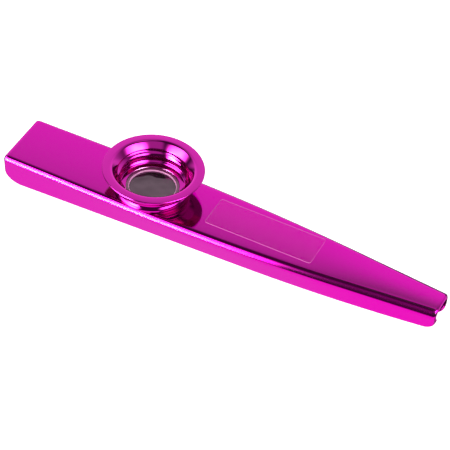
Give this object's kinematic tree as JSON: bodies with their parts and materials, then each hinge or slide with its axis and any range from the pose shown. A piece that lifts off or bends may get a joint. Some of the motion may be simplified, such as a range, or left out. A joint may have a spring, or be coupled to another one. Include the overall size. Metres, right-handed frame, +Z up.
{
  "type": "kazoo",
  "caption": "Metal kazoo: a flat-topped tapering tube, open at both ends, with a flared screw-in cup on top that holds a buzzing membrane on its seat.",
  "frame": {"origin": "under the middle of the body, on the face that it rests on", "axes": "+X along the body from the big end to the small end, +Z up through the turret's side, +Y away from the side that the picture shows"},
  "size_m": [0.1212, 0.0266, 0.0154],
  "materials": {
    "body_metal": "dyed magenta, polished to a mirror",
    "tray_metal": "dyed magenta, polished",
    "ring_plastic": "glossy, pale",
    "film": "glossy, translucent grey",
    "label_film": "clear, glossy"
  },
  "bodies": {
    "body": {"upper_shell": "body_metal", "lower_shell": "tray_metal", "turret_collar": "body_metal", "clear_label": "label_film"},
    "membrane": {"membrane_ring": "ring_plastic", "membrane_film": "film"},
    "cup": {"turret_cup": "body_metal"}
  },
  "joints": [
    {"name": "cup_turn", "type": "hinge", "parent": "body", "child": "membrane", "pos_m": [-0.021, 0, 0.00801], "axis": [0.0173, 0, 0.9998], "range_deg": [0, 410]},
    {"name": "cup_rise", "type": "slide", "parent": "membrane", "child": "cup", "axis": [0.0173, 0, 0.9998], "range_m": [0, 0.00285]}
  ],
  "couplings": [
    {"joint": "cup_rise", "follows": "cup_turn", "m_per_rad": 0.00039789}
  ]
}
